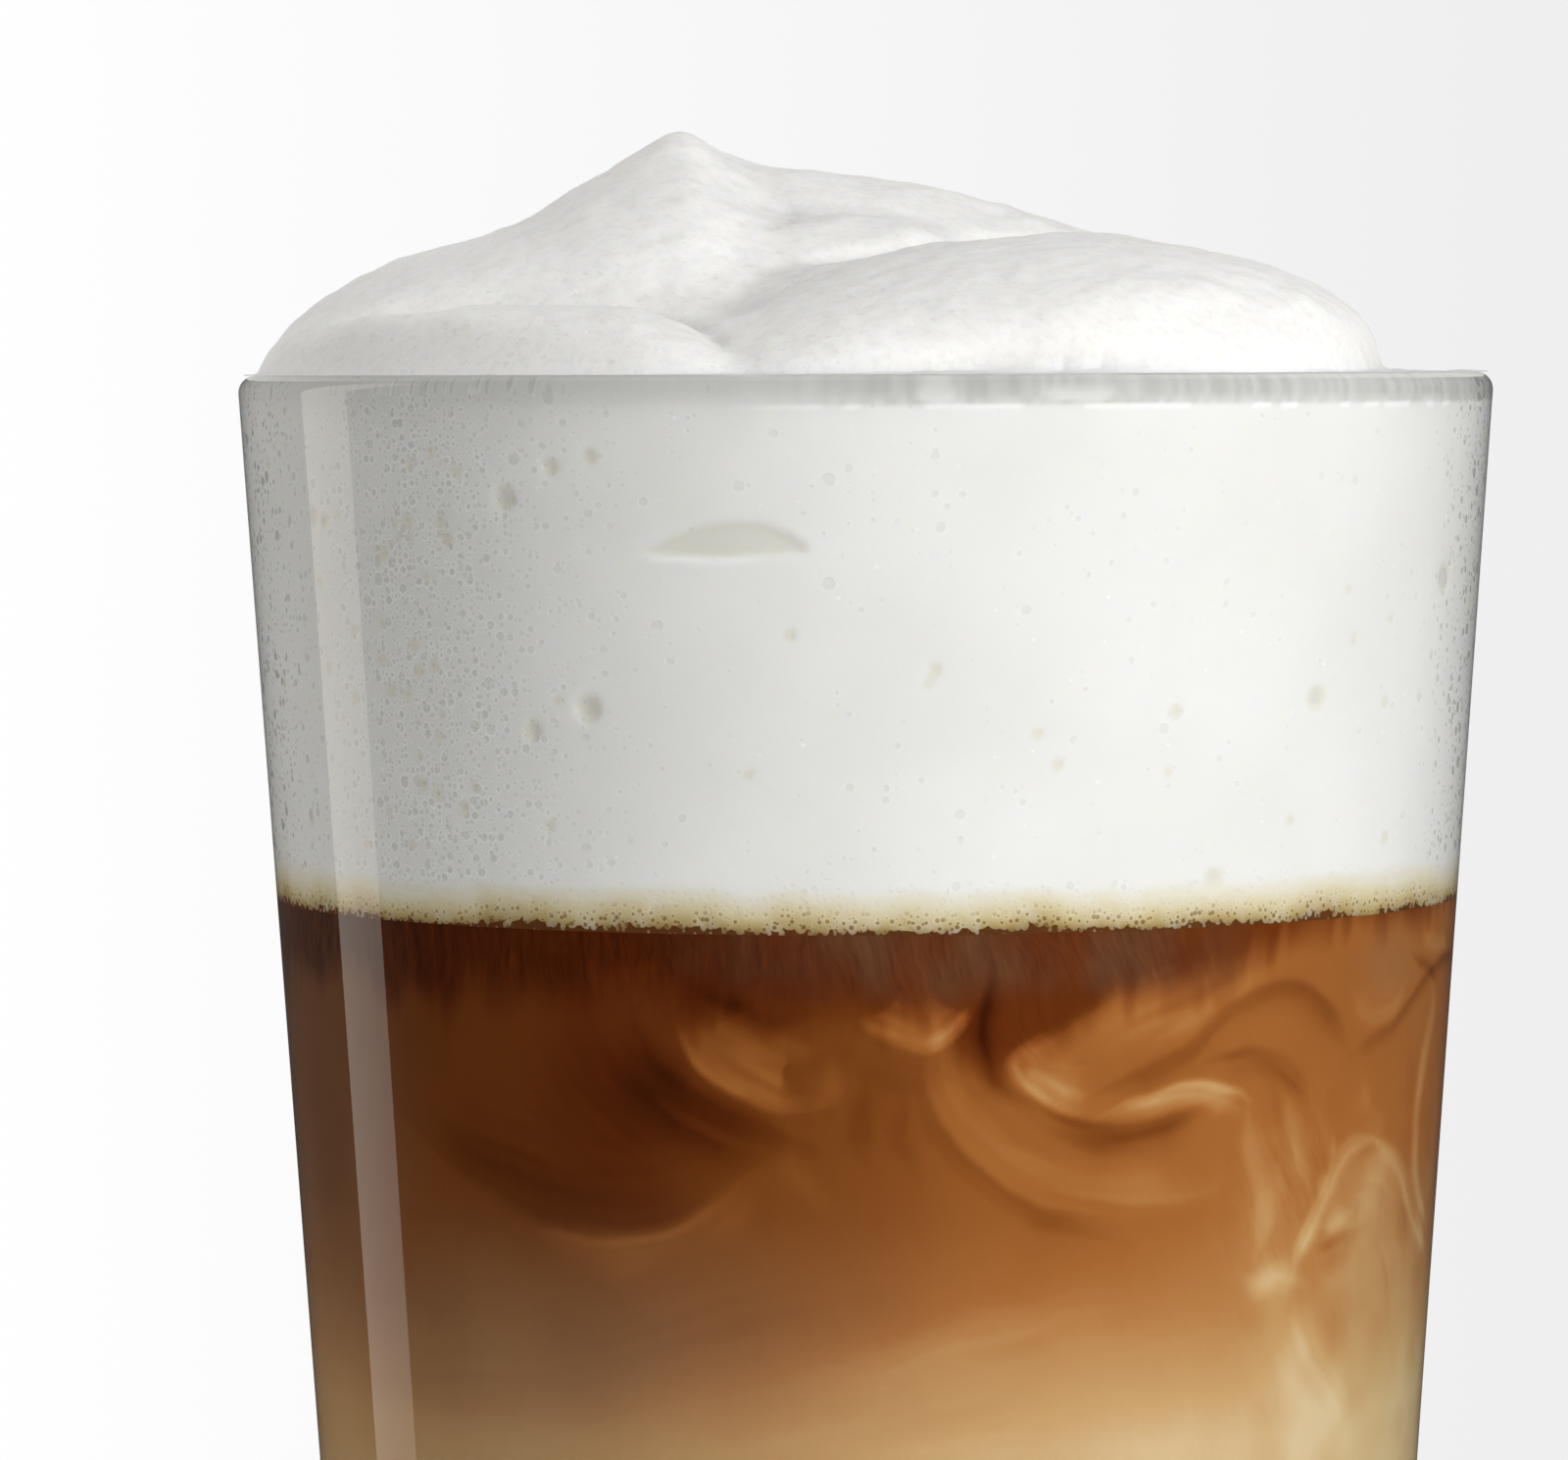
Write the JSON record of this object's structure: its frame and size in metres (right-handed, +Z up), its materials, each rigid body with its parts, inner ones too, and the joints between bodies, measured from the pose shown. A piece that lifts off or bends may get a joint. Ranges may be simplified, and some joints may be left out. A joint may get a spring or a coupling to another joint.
{
  "type": "iced latte in a glass",
  "caption": "Tall tapered drinking glass filled with layered milk and coffee, with a heaped head of milk foam above the rim.",
  "frame": {"origin": "centre of the ring that the glass stands on, on the table plane", "axes": "+Z up along the axis of the glass; -Y is the front, which the picture shows; +X is to its right"},
  "size_m": [0.0818, 0.0818, 0.1557],
  "materials": {
    "clear_glass": "clear, polished",
    "milky_coffee": "opaque milky liquid, coffee marbled into milk",
    "dark_coffee": "brown liquid with swirls of milk",
    "milk_foam": "fine wet milk foam with scattered bubbles"
  },
  "bodies": {
    "root": {"glass": "clear_glass", "milk": "milky_coffee", "coffee": "dark_coffee", "foam": "milk_foam"}
  },
  "joints": []
}
